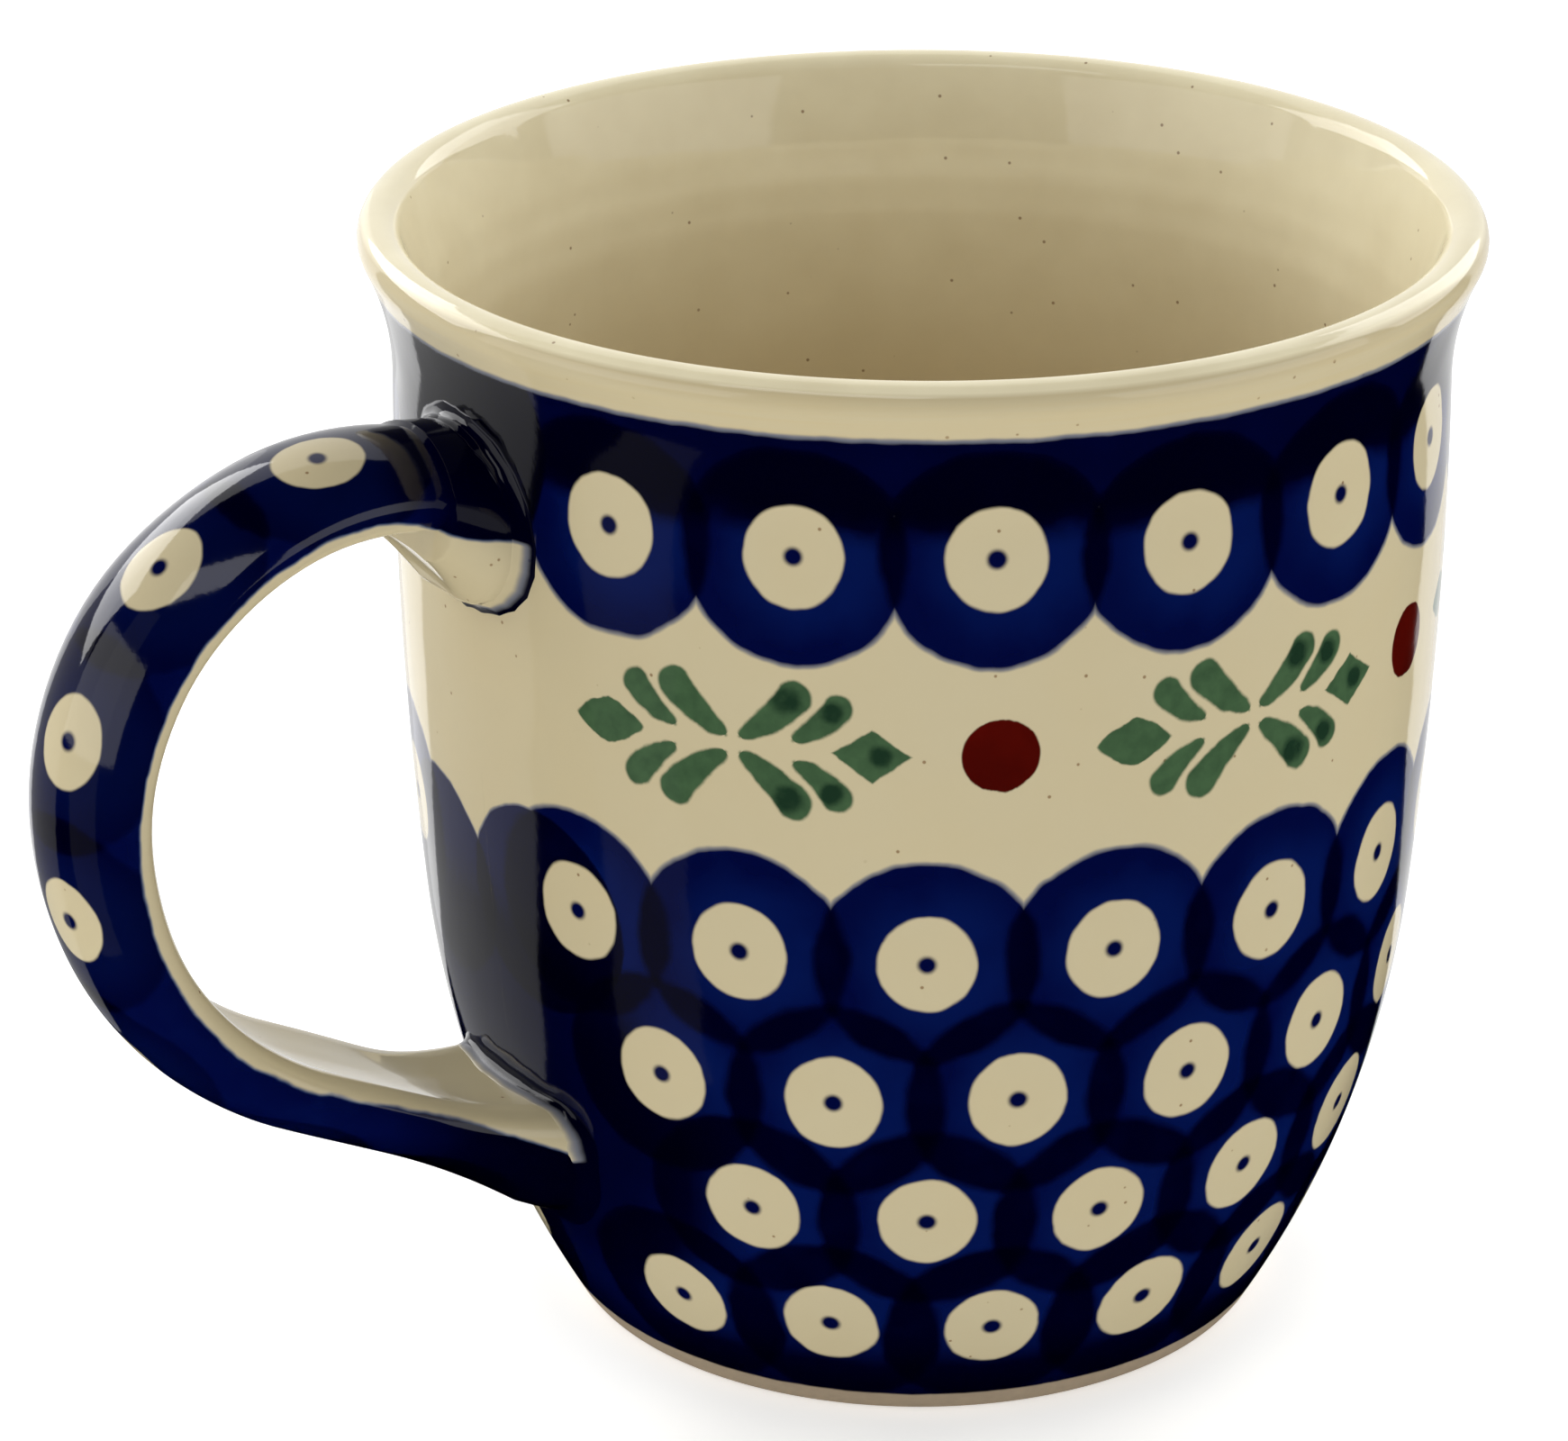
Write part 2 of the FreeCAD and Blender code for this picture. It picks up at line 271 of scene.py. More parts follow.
class Arm:
    """One straight end of the handle: its centreline, its section and where it meets the wall."""

    def __init__(self, height, rise, back_side, root, tangent):
        self.height = height
        self.rise = rise
        self.out = Vector((math.cos(rise), math.sin(rise)))
        self.back = Vector((-self.out.y, self.out.x)) * back_side
        self.root = root
        self.tangent = tangent
        self.wall_reach = self.meet(lambda reach: (self.centre(reach), 0.0), 0.0)

    def centre(self, reach):
        return Vector((reach, self.height + (reach - ARM_START) * math.tan(self.rise)))

    def points(self, reach):
        away = max((reach - self.wall_reach) / FLARE, 0.0)
        share = max(1 - away, 0.0) ** 2
        return section(mix_sizes(GRIP, self.root, share), INNER_HOLLOW * (1 - share))

    def place(self, reach, index):
        across, up, _ = self.points(reach)[index]
        return self.centre(reach) + self.back * up, across

    def meet(self, where, proud):
        """The reach at which a lengthwise line of the arm crosses the wall, or a surface proud of it."""
        low, high = MEETING_SPAN
        for _ in range(HALVINGS):
            middle = (low + high) / 2
            spot, across = where(middle)
            if math.hypot(spot.x, across) < wall_radius(spot.y) + proud:
                low = middle
            else:
                high = middle
        return (low + high) / 2

    def coped(self, proud):
        """Where each lengthwise line of the arm meets the wall, or a surface proud of it."""
        count = len(section(GRIP, 0.0))
        return [self.meet(lambda reach, i=i: self.place(reach, i), proud) for i in range(count)]


def top_centre():
    """The top bend touches the upper arm and lies inside the loop's round."""
    out = Vector((math.cos(UPPER_RISE), math.sin(UPPER_RISE)))
    back = Vector((-out.y, out.x))
    start = Vector((ARM_START, UPPER_HEIGHT)) - back * TOP_RADIUS - LOOP_CENTRE
    half = start.dot(out)
    inset = LOOP_RADIUS - TOP_RADIUS
    return LOOP_CENTRE + start + out * (math.sqrt(half**2 - start.length_squared + inset**2) - half)


def make_arms():
    upper_out = Vector((math.cos(UPPER_RISE), math.sin(UPPER_RISE)))
    upper_touch = top_centre() + Vector((-upper_out.y, upper_out.x)) * TOP_RADIUS
    lower_touch = LOOP_CENTRE + Vector((math.sin(LOWER_RISE), -math.cos(LOWER_RISE))) * LOOP_RADIUS
    lower_height = lower_touch.y - (lower_touch.x - ARM_START) * math.tan(LOWER_RISE)
    upper = Arm(UPPER_HEIGHT, UPPER_RISE, 1, UPPER_ROOT, upper_touch.x)
    lower = Arm(lower_height, LOWER_RISE, -1, LOWER_ROOT, lower_touch.x)
    return upper, lower


def in_space(spot, across):
    return (-spot.x, -across, spot.y)


def arm_rings(arm, steps):
    """Rings from just inside the wall out to the bend, with (along, way round, up) for each point."""
    inner = arm.coped(-SUNK)
    rings = []
    for step in range(steps):
        ring = []
        for index, start in enumerate(inner):
            reach = start + (arm.tangent - start) * step / steps
            spot, across = arm.place(reach, index)
            point = arm.points(reach)[index]
            along = (reach - arm.wall_reach) / arm.out.x
            ring.append((in_space(spot, across), (along, point[2], point[1])))
        rings.append(ring)
    return rings


def bend_rings(centre, radius, first, last, steps, along):
    """Rings round a bend; the way along is measured on the crest."""
    rings = []
    for step in range(steps):
        turn = first + (last - first) * step / steps
        back = Vector((math.cos(turn), math.sin(turn)))
        here = along + abs(turn - first) * (radius + GRIP[1])
        ring = []
        for across, up, way in section(GRIP, INNER_HOLLOW):
            spot = centre + back * (radius + up)
            ring.append((in_space(spot, across), (here, way, up)))
        rings.append(ring)
    return rings, along + abs(last - first) * (radius + GRIP[1])


def handle_rings(upper, lower):
    """All rings of the handle from the upper joint to the lower one, and its whole length on the crest."""
    top = top_centre()
    inset = top - LOOP_CENTRE
    first = math.pi / 2 + UPPER_RISE
    switch = math.atan2(inset.y, inset.x)
    last = LOWER_RISE - math.pi / 2
    rings = arm_rings(upper, UPPER_STEPS)
    along = (upper.tangent - upper.wall_reach) / upper.out.x
    top_part, along = bend_rings(top, TOP_RADIUS, first, switch, BEND_STEPS, along)
    loop_part, along = bend_rings(LOOP_CENTRE, LOOP_RADIUS, switch, last, BEND_STEPS, along)
    rings += top_part + loop_part
    total = along + (lower.tangent - lower.wall_reach) / lower.out.x
    for ring in reversed(arm_rings(lower, LOWER_STEPS)):
        rings.append([(spot, (total - a, way, up)) for spot, (a, way, up) in ring])
    return rings, total


def make_handle(upper, lower, material):
    rings, total = handle_rings(upper, lower)
    count = len(rings[0])
    noise.seed_set(SWAY_SEED)
    vertices = []
    for ring in rings:
        for spot, (along, way, _) in ring:
            sway = noise.noise_vector(Vector((along * 0.07, way * 0.05, 3.0))) * HANDLE_SWAY
            nearer = min(along, total - along)
            sway *= min(max((nearer - STILL_END) / SWAY_RISE, 0), 1)
            vertices.append(Vector(spot) + sway)
    faces = grid_faces(len(rings), count)
    faces.append(tuple(range(count)))
    last = (len(rings) - 1) * count
    faces.append(tuple(range(last, last + count)))
    piece = new_piece("glazed_handle", vertices, faces, ["handle"], material)
    store(piece.data, "grip", [notes for ring in rings for _, notes in ring])
    crest = [ring[0][0] for ring in rings]
    unroll(piece.data, count, shares([math.dist(a, b) for a, b in zip(crest, crest[1:])]))
    piece.visible_glossy = False


def lute_band(arm, reach, index, corner, middle, wobble):
    """One cut across the slip: over its face from the handle to the wall, and back below both surfaces."""
    spot, across = arm.place(reach + LUTE_ON_HANDLE * wobble, index)
    on_handle = Vector(in_space(spot, across))
    level = Vector((corner.x, corner.y, 0)).normalized()
    away = corner - middle
    away = (away - level * away.dot(level)).normalized()
    on_wall = corner + away * LUTE_ON_WALL * wobble
    flat = Vector((on_wall.x, on_wall.y, 0)).normalized() * (wall_radius(on_wall.z) - LUTE_WALL_EDGE)
    on_wall = Vector((flat.x, flat.y, on_wall.z))
    core = Vector(in_space(arm.centre(reach + LUTE_ON_HANDLE), 0.0))
    inwards = (core - on_handle).normalized()
    crown = corner + (level + away) * LUTE_CROWN
    band = []
    for step in range(LUTE_STEPS + 1):
        t = step / LUTE_STEPS
        band.append(on_handle * (1 - t) ** 2 + crown * 2 * t * (1 - t) + on_wall * t**2)
    band[0] = on_handle + inwards * LUTE_HANDLE_EDGE
    deep = corner - level * LUTE_DEEP - away * LUTE_DEEP
    return band + [on_wall - level * LUTE_BURIED, deep, on_handle + inwards * LUTE_BURIED]


def make_lute(name, node_name, arm, start, material):
    """The smoothed band of slip that runs round the handle's end in the corner with the wall."""
    count = len(section(GRIP, 0.0))
    reach = arm.coped(0.0)
    foot = [Vector(in_space(*arm.place(reach[i], i))) for i in range(count)]
    middle = sum(foot, Vector()) / count
    vertices, notes = [], []
    for index, corner in enumerate(foot):
        wobble = 1 + 0.25 * noise.noise(Vector((index * 0.35, start * 0.1, 7.0)))
        band = lute_band(arm, reach[index], index, corner, middle, wobble)
        _, up, way = arm.points(reach[index])[index]
        vertices += band
        for step in range(len(band)):
            notes.append((step / LUTE_STEPS if step <= LUTE_STEPS else 0.5, way, up))
    rows = len(vertices) // count
    faces = []
    for i in range(count):
        k = (i + 1) % count
        for j in range(rows):
            m = (j + 1) % rows
            faces.append((i * rows + j, k * rows + j, k * rows + m, i * rows + m))
    piece = new_piece(name, vertices, faces, [node_name], material)
    store(piece.data, "grip", notes)


# ---------------------------------------------------------------- materials


def tint(red, green, blue):
    """A screen colour from 0 to 255 as the linear values that a shader takes."""
    parts = [c / 255 for c in (red, green, blue)]
    return tuple(c / 12.92 if c <= 0.04045 else ((c + 0.055) / 1.055) ** 2.4 for c in parts) + (1.0,)


CREAM = tint(197, 186, 154)
CREAM_WARM = tint(198, 182, 142)
# the next two colours are painted light and painted shade for the inside of the cup: pale near the lip, tan
# further down
CREAM_PAINTED_LIGHT = tint(244, 236, 204)
TAN_PAINTED_SHADE = tint(184, 154, 100)
SPECK = tint(120, 86, 52)
COBALT = tint(1, 7, 56)
COBALT_LIGHT = tint(5, 27, 90)
NAVY = tint(0, 0, 25)
NIGHT = tint(0, 0, 12)
FRINGE = tint(70, 92, 132)
GREEN = tint(66, 94, 64)
GREEN_DARK = tint(26, 50, 34)
RED = tint(84, 9, 3)
RED_DARK = tint(50, 4, 2)
BARE_CLAY = tint(150, 134, 112)
BARE_CLAY_PALE = tint(168, 150, 124)

# rows of eyes: height, angle of the first, pitch and how many
ROWS = [
    (80.4, 23.0, 20.4, 16),
    (46.6, 17.0, 20.1, 17),
    (33.9, 26.9, 20.2, 16),
    (22.2, 36.7, 20.8, 15),
    (10.6, 23.5, 21.5, 16),
]
DISC_RADIUS = 8.9
EYE = (3.9, 4.2)
HANDLE_EYE = (3.2, 3.75)
PUPIL = 0.75
# angle at which the pattern starts and ends, just past the handle
SEAM = 2.0
# stamps without an eye beside the lower joint: angle and height
PLAIN_DABS = ((11.0, 45.3), (-9.5, 43.5))
FIRST_SPRIG = 37.0
FIRST_BERRY = 64.5
MOTIF_STEP = 56.0
MOTIF_HEIGHT = 64.5
BERRY_RADIUS = 3.05
LEAF_BOW = 1.7
LIP_LINE = 90.6
BAND_LINE = 83.8
FOOT_LINE = 2.0
SPRIGS = 6
# leaves of a sprig, in millimetres from its centre: fine tip, round end and width
BIG_LEAF = ((0.6, 0.7), (5.7, 5.6), 2.9)
SMALL_LEAF = ((4.9, 0.9), (8.9, 4.8), 2.5)
# the leaf at either end: how far out its middle is, half its length, and half its width blunt and sharp
END_LEAF = 10.9
END_REACH = 3.1
BLUNT_WIDTH = 1.95
SHARP_WIDTH = 2.2
# darker blobs on the leaves of the sharp half: place, radius and softness
BLOBS = ((4.3, 4.1, 1.1, 1.0), (7.8, 3.4, 0.9, 0.8), (11.6, 0.0, 0.9, 0.8))
# ellipses at the handle's joints, brushed blue at the upper one and painted shade at the lower one: where
# the centre is and half the sizes, the lower one's width in degrees
ROOT_ANGLE = -3.0
ROOT_LEVEL = 86.0
ROOT_WIDTH = 13.2
ROOT_HEIGHT = 15.0
JOINT_LEVEL = 25.0
JOINT_TURN = 30.0
JOINT_HEIGHT = 18.0
WALL_PER_DEGREE = 0.75
# how many layers of blue the brush adds at the upper joint and in the band, and how much painted shade
# darkens the blue round the lower joint and towards the foot
ROOT_LAYERS = 2.0
JOINT_SHADE = 1.7
FOOT_SHADE = 1.8
BRUSH_LAYERS = 1.7
# everything below this height is blue, whatever the stamps leave free
BLUE_BELOW = 44.0
# the lining's painted light and shade: warm cream at the floor, painted shade in tan up the wall, and
# painted light in pale cream near the lip: height and softness
TAN_SHADE_RISE = (20.0, 24.0)
PALE_LIGHT_RISE = (63.0, 64.0)


class Value:
    """A number worked out by a material's nodes; arithmetic on it adds more nodes."""

    def __init__(self, tree, socket):
        self.tree = tree
        self.socket = socket

    def apply(self, operation, *others):
        node = self.tree.nodes.new("ShaderNodeMath")
        node.operation = operation
        for slot, item in zip(node.inputs, (self, *others)):
            plug(self.tree, slot, item)
        return Value(self.tree, node.outputs[0])

    def __add__(self, other):
        return self.apply("ADD", other)

    def __sub__(self, other):
        return self.apply("SUBTRACT", other)

    def __mul__(self, other):
        return self.apply("MULTIPLY", other)

    def __truediv__(self, other):
        return self.apply("DIVIDE", other)

    __radd__ = __add__
    __rmul__ = __mul__

    def size(self):
        return self.apply("ABSOLUTE")

    def root(self):
        return self.apply("SQRT")

    def low(self, other):
        return self.apply("MINIMUM", other)

    def high(self, other):
        return self.apply("MAXIMUM", other)

    def unit(self):
        """Held between 0 and 1."""
        return self.high(0.0).low(1.0)

    def inverse(self):
        return self * -1.0 + 1.0


def plug(tree, slot, item):
    if isinstance(item, Value):
        tree.links.new(item.socket, slot)
    elif isinstance(item, bpy.types.NodeSocket):
        tree.links.new(item, slot)
    else:
        slot.default_value = item


def below(value, limit, soft):
    """1 where the value is under the limit and 0 over it, with a soft edge."""
    node = value.tree.nodes.new("ShaderNodeMapRange")
    node.interpolation_type = "SMOOTHSTEP"
    plug(value.tree, node.inputs["Value"], value)
    node.inputs["From Min"].default_value = limit - soft / 2
    node.inputs["From Max"].default_value = limit + soft / 2
    node.inputs["To Min"].default_value = 1.0
    node.inputs["To Max"].default_value = 0.0
    return Value(value.tree, node.outputs["Result"])


def mix(tree, share, one, other):
    node = tree.nodes.new("ShaderNodeMix")
    node.data_type = "RGBA"
    plug(tree, node.inputs["Factor"], share)
    colours = [s for s in node.inputs if s.type == "RGBA"]
    plug(tree, colours[0], one)
    plug(tree, colours[1], other)
    return next(s for s in node.outputs if s.type == "RGBA")


def length(across, up):
    return (across * across + up * up).root()


def join(tree, across, up, deep):
    node = tree.nodes.new("ShaderNodeCombineXYZ")
    for slot, item in zip(node.inputs, (across, up, deep)):
        plug(tree, slot, item)
    return node.outputs[0]


def split(tree, vector):
    node = tree.nodes.new("ShaderNodeSeparateXYZ")
    tree.links.new(vector, node.inputs[0])
    return [Value(tree, socket) for socket in node.outputs]


def cloud(tree, place, scale, detail=2.0, shift=0.0):
    """Soft noise from about -1 to 1; scale is per millimetre."""
    node = tree.nodes.new("ShaderNodeTexNoise")
    node.noise_dimensions = "4D"
    node.inputs["Scale"].default_value = scale
    node.inputs["Detail"].default_value = detail
    node.inputs["W"].default_value = shift
    tree.links.new(place, node.inputs["Vector"])
    return (Value(tree, node.outputs[0]) - 0.5) * 2.0


def chance(tree, across, up):
    """A random number from 0 to 1 for each whole-number place."""
    node = tree.nodes.new("ShaderNodeTexWhiteNoise")
    node.noise_dimensions = "2D"
    tree.links.new(join(tree, across, up, 0.0), node.inputs["Vector"])
    return Value(tree, node.outputs["Value"])


def read(tree, name):
    """The three numbers that a mesh keeps under a name."""
    source = tree.nodes.new("ShaderNodeAttribute")
    source.attribute_name = name
    return split(tree, source.outputs["Vector"])


def object_place(tree):
    """The place on the object in millimetres."""
    source = tree.nodes.new("ShaderNodeTexCoord")
    scale = tree.nodes.new("ShaderNodeVectorMath")
    scale.operation = "SCALE"
    scale.inputs["Scale"].default_value = 1 / MM
    tree.links.new(source.outputs["Object"], scale.inputs[0])
    return scale.outputs[0]


def curve(value, points):
    """Follows straight lines through the points, which lie between 0 and 1."""
    node = value.tree.nodes.new("ShaderNodeFloatCurve")
    line = node.mapping.curves[0].points
    for spot in points[1:-1]:
        line.new(*spot)
    for point, spot in zip(line, points):
        point.location = spot
        point.handle_type = "VECTOR"
    node.mapping.update()
    plug(value.tree, node.inputs["Value"], value)
    return Value(value.tree, node.outputs[0])


def stamp(across, up, eye_size, wobble, seed):
    """What one sponge stamp leaves, from its centre: (disc, how thick the blue is, eye, pupil, glow)."""
    reach = length(across, up)
    disc = below(reach + wobble * 0.35, DISC_RADIUS, 0.6)
    thick = below(reach + wobble * 0.5, DISC_RADIUS, 1.0)
    inner = length(across / eye_size[0], up / eye_size[1]) + wobble * 0.07 + seed * 0.05
    eye = below(inner, 1.0, 0.09)
    pupil = below(reach + wobble * 0.12, PUPIL, 0.5)
    glow = below(length(across - 1.2, up), 6.2, 5.0)
    return disc, thick, eye, pupil, glow


def gather(stamps, counts):
    """Joins neighbouring stamps, each with how much it counts for; only the blue's thickness adds up."""
    joined = [layer * counts[0] for layer in stamps[0]]
    for layers, share in zip(stamps[1:], counts[1:]):
        for index, layer in enumerate(layers):
            part = layer * share
            joined[index] = joined[index] + part if index == 1 else joined[index].high(part)
    return joined


def stamp_row(tree, place, row, row_number, wobble):
    """A row of stamps round the cup, joined as gather() does."""
    angle, height, radius = place
    level, first, pitch, count = row
    spots = [first + pitch * k for k in range(count)]
    turns = [(spot - SEAM) / 360 for spot in spots]
    steps = [k / (count - 1) for k in range(count)]
    to_index = [(0.0, 0.0), *zip(turns, steps), (1.0, 1.0)]
    index = curve((angle - SEAM) / 360, to_index) * (count - 1.0)
    cell = index.apply("ROUND")
    beside = (cell + (index - cell).apply("SIGN")).high(0.0).low(count - 1.0)
    stamps = []
    for number in (cell, beside):
        centre = curve(number / (count - 1.0), list(zip(steps, turns))) * 360 + SEAM
        lift = (chance(tree, number, row_number + 0.5) - 0.5) * 0.5
        across = (angle - centre) * radius * math.radians(1)
        stamps.append(stamp(across, height - level + lift, EYE, wobble, lift))
    same = below((cell - beside).size(), 0.5, 0.2)
    return gather(stamps, (1.0, same.inverse()))


def leaf(across, up, tip, end, width):
    """A bowed teardrop with a fine tip and a round end, 1 inside it."""
    run = (end[0] - tip[0], end[1] - tip[1])
    reach = math.hypot(*run)
    share = ((across - tip[0]) * run[0] + (up - tip[1]) * run[1]) / reach**2
    share = share.high(0.0).low(1 - width / 2 / reach)
    bow = share * share.inverse() * LEAF_BOW
    off_across = across - tip[0] - share * run[0] - bow * (run[1] / reach)
    off_up = up - tip[1] - share * run[1] + bow * (run[0] / reach)
    swell = share.apply("POWER", 0.42) * (width / 2) + 0.12
    return below(length(off_across, off_up) - swell, 0.0, 0.35)


def sprigs(angle, height, radius, wobble, ragged):
    """Six leafy sprigs and five berries. Returns the leaf share, its dark blobs, and the berry share."""
    index = ((angle - FIRST_SPRIG) / MOTIF_STEP).apply("ROUND").high(0.0).low(SPRIGS - 1.0)
    across = (angle - FIRST_SPRIG - index * MOTIF_STEP) * radius * math.radians(1) + wobble * 0.15
    up = height - MOTIF_HEIGHT + ragged * 0.3
    x = across.size()
    y = up.size()
    big = leaf(x, y, *BIG_LEAF)
    small = leaf(x, y, *SMALL_LEAF)
    blunt = below(across, 0.0, 0.1)
    tip_reach = (x - END_LEAF).size() / END_REACH
    tip_round = (tip_reach.apply("POWER", 1.35) + (y / BLUNT_WIDTH).apply("POWER", 1.35)) * blunt
    tip_sharp = (tip_reach + y / SHARP_WIDTH).apply("POWER", 1.1) * blunt.inverse()
    tip = below(tip_round + tip_sharp + wobble * 0.08, 1.0, 0.14)
    shape = big.high(small).high(tip)
    spots = [below(length(across - at, y - level), size, soft) for at, level, size, soft in BLOBS]
    blobs = spots[0].high(spots[1]).high(spots[2])
    berry_index = ((angle - FIRST_BERRY) / MOTIF_STEP).apply("ROUND").high(0.0).low(SPRIGS - 2.0)
    berry_across = (angle - FIRST_BERRY - berry_index * MOTIF_STEP) * radius * math.radians(1)
    berry = below(length(berry_across, up) + wobble * 0.1, BERRY_RADIUS, 0.18)
    return shape, blobs, berry


def cream_glaze(tree, place, base):
    """Cream glaze with soft clouds and fine iron specks."""
    soft = cloud(tree, place, 0.12, 3.0, 4.0)
    colour = mix(tree, (soft * 0.3 + 0.25).unit(), base, CREAM_WARM)
    cells = tree.nodes.new("ShaderNodeTexVoronoi")
    cells.inputs["Scale"].default_value = 0.46
    tree.links.new(place, cells.inputs["Vector"])
    near = Value(tree, cells.outputs["Distance"])
    pick = split(tree, cells.outputs["Color"])[0]
    speck = below(near, 0.065, 0.05) * below(pick, 0.45, 0.1)
    return mix(tree, speck * 0.75, colour, SPECK)


def blue_glaze(tree, layers, glow, cloudy):
    """Cobalt that gets darker with each stamp laid over another, and with the painted shade counted in with
    the layers.
    """
    light = mix(tree, (glow * 0.5 + cloudy * 0.35).unit(), COBALT, COBALT_LIGHT)
    twice = mix(tree, (layers - 1.0 + cloudy * 0.3).unit(), light, NAVY)
    return mix(tree, (layers - 2.0 + cloudy * 0.2).unit(), twice, NIGHT)


def round_angle(x, y):
    """Degrees round the cup from the handle, growing towards the camera's side, from SEAM on."""
    angle = (y * -1.0).apply("ARCTAN2", x * -1.0) * math.degrees(1)
    return angle + below(angle, SEAM, 0.01) * 360.0


def cup_blue(tree, spot, wobble, cloudy):
    """Where the cup is painted blue, and that blue; eyes and pupils come back as well."""
    angle, z, radius = spot
    rows = [stamp_row(tree, spot, row, number, wobble) for number, row in enumerate(ROWS)]
    disc, thick, eye, pupil, glow = rows[0]
    for row in rows[1:]:
        disc = disc.high(row[0])
        thick = thick + row[1]
        eye = eye.high(row[2])
        pupil = pupil.high(row[3])
        glow = glow.high(row[4])
    wrap = angle - below(angle, 180.0, 0.01).inverse() * 360.0
    dabs = []
    for turn, level in PLAIN_DABS:
        across = (wrap - turn) * radius * math.radians(1)
        dabs.append(below(length(across, z - level) + wobble * 0.3, DISC_RADIUS, 0.4))
    dab = dabs[0].high(dabs[1])
    root_across = (wrap - ROOT_ANGLE) * WALL_PER_DEGREE / ROOT_WIDTH
    root = below(length(root_across, (z - ROOT_LEVEL) / ROOT_HEIGHT), 1.0, 0.05)
    band = below(z * -1.0 - wobble * 0.4, -BAND_LINE, 1.2)
    lower = below(z, BLUE_BELOW, 0.6)
    painted = disc.high(dab).high(root).high(band).high(lower)
    # painted shade: the blue is darker on the wall round the handle's lower joint
    joint_shade = below(length(wrap / JOINT_TURN, (z - JOINT_LEVEL) / JOINT_HEIGHT), 1.0, 0.6) * JOINT_SHADE
    # painted shade: the blue is darker towards the foot
    foot = below(z, 6.0, 9.0) * FOOT_SHADE
    brushed = below(z * -1.0 - cloudy * 1.6, 0.8 - BAND_LINE, 3.6) * BRUSH_LAYERS
    layers = thick + dabs[0] + dabs[1] + brushed + root * ROOT_LAYERS + joint_shade + foot
    blue = blue_glaze(tree, layers, glow, cloudy)
    seen = root.inverse()
    return painted, blue, eye * seen, pupil * seen


def cup_colour(tree, place):
    """The whole painted pattern of the cup outside, with the height and the wobble that its edges share."""
    x, y, z = split(tree, place)
    radius = length(x, y)
    angle = round_angle(x, y)
    wobble = cloud(tree, place, 0.35, 2.0, 1.0)
    cloudy = cloud(tree, place, 0.22, 4.0, 9.0)
    painted, blue, eye, pupil = cup_blue(tree, (angle, z, radius), wobble, cloudy)
    ragged = cloud(tree, place, 0.75, 3.0, 7.0)
    shape, blobs, berry = sprigs(angle, z, radius, wobble, ragged)
    cream = cream_glaze(tree, place, CREAM)
    colour = mix(tree, painted, cream, blue)
    fringe = painted * painted.inverse() * 2.4
    colour = mix(tree, fringe.unit() * 0.65, colour, FRINGE)
    blotches = cloud(tree, place, 0.8, 3.0, 5.0)
    leafy = mix(tree, (blobs * 0.9 + blotches * 0.55 + 0.15).unit(), GREEN, GREEN_DARK)
    colour = mix(tree, shape, colour, leafy)
    berry_red = mix(tree, (cloudy * 0.6 + 0.4).unit(), RED, RED_DARK)
    colour = mix(tree, berry, colour, berry_red)
    colour = mix(tree, eye, colour, cream)
    colour = mix(tree, pupil, colour, COBALT)
    lip = below(z * -1.0 - wobble * 0.25, -LIP_LINE, 0.7)
    streaks = cloud(tree, join(tree, angle * 0.05, z * 3.0, 0.0), 0.7, 3.0, 3.0)
    lip_glaze = mix(tree, (streaks * 0.8 + 0.2).unit(), cream_glaze(tree, place, CREAM), CREAM_WARM)
    colour = mix(tree, lip, colour, lip_glaze)
    return mix(tree, lip * lip.inverse() * 2.2, colour, FRINGE), z, wobble


def new_material(name):
    material = bpy.data.materials.new(name)
    material.use_nodes = True
    tree = material.node_tree
    tree.nodes.clear()
    shader = tree.nodes.new("ShaderNodeBsdfPrincipled")
    output = tree.nodes.new("ShaderNodeOutputMaterial")
    tree.links.new(shader.outputs[0], output.inputs["Surface"])
    return material, tree, shader


def add_bump(tree, shader, height, distance):
    node = tree.nodes.new("ShaderNodeBump")
    node.inputs["Strength"].default_value = 1.0
    node.inputs["Distance"].default_value = distance * MM
    tree.links.new(height.socket, node.inputs["Height"])
    tree.links.new(node.outputs[0], shader.inputs["Normal"])


def glaze_surface(tree, shader, place, bare=None):
    """Gloss of a clear glaze: nearly smooth, a little wavy, with fine pits; bare clay is rough."""
    waves = cloud(tree, place, 0.09, 1.0, 2.0)
    pits = cloud(tree, place, 1.6, 2.0, 6.0)
    roughness = pits * 0.015 + waves * 0.02 + 0.07
    if bare is not None:
        roughness = roughness + bare * 0.6
    plug(tree, shader.inputs["Roughness"], roughness)
    add_bump(tree, shader, waves * 1.0 + pits * 0.02, 0.12)


def cup_material():
    material, tree, shader = new_material("stamped_cup_glaze")
    place = object_place(tree)
    colour, z, wobble = cup_colour(tree, place)
    inside = read(tree, "lining")[0]
    # painted light and shade inside the cup: tan painted shade up the wall, pale painted light near the lip
    lining = mix(tree, below(z, *PALE_LIGHT_RISE), CREAM_PAINTED_LIGHT, TAN_PAINTED_SHADE)
    lining = mix(tree, below(z, *TAN_SHADE_RISE), lining, CREAM_WARM)
    lining = cream_glaze(tree, place, lining)
    colour = mix(tree, inside, colour, lining)
    bare = below(z + wobble * 0.15, FOOT_LINE, 0.3) * inside.inverse()
    clay = mix(tree, (cloud(tree, place, 1.2, 4.0, 8.0) * 0.5 + 0.5).unit(), BARE_CLAY, BARE_CLAY_PALE)
    colour = mix(tree, bare, colour, clay)
    tree.links.new(colour, shader.inputs["Base Color"])
    glaze_surface(tree, shader, place, bare)
    return material


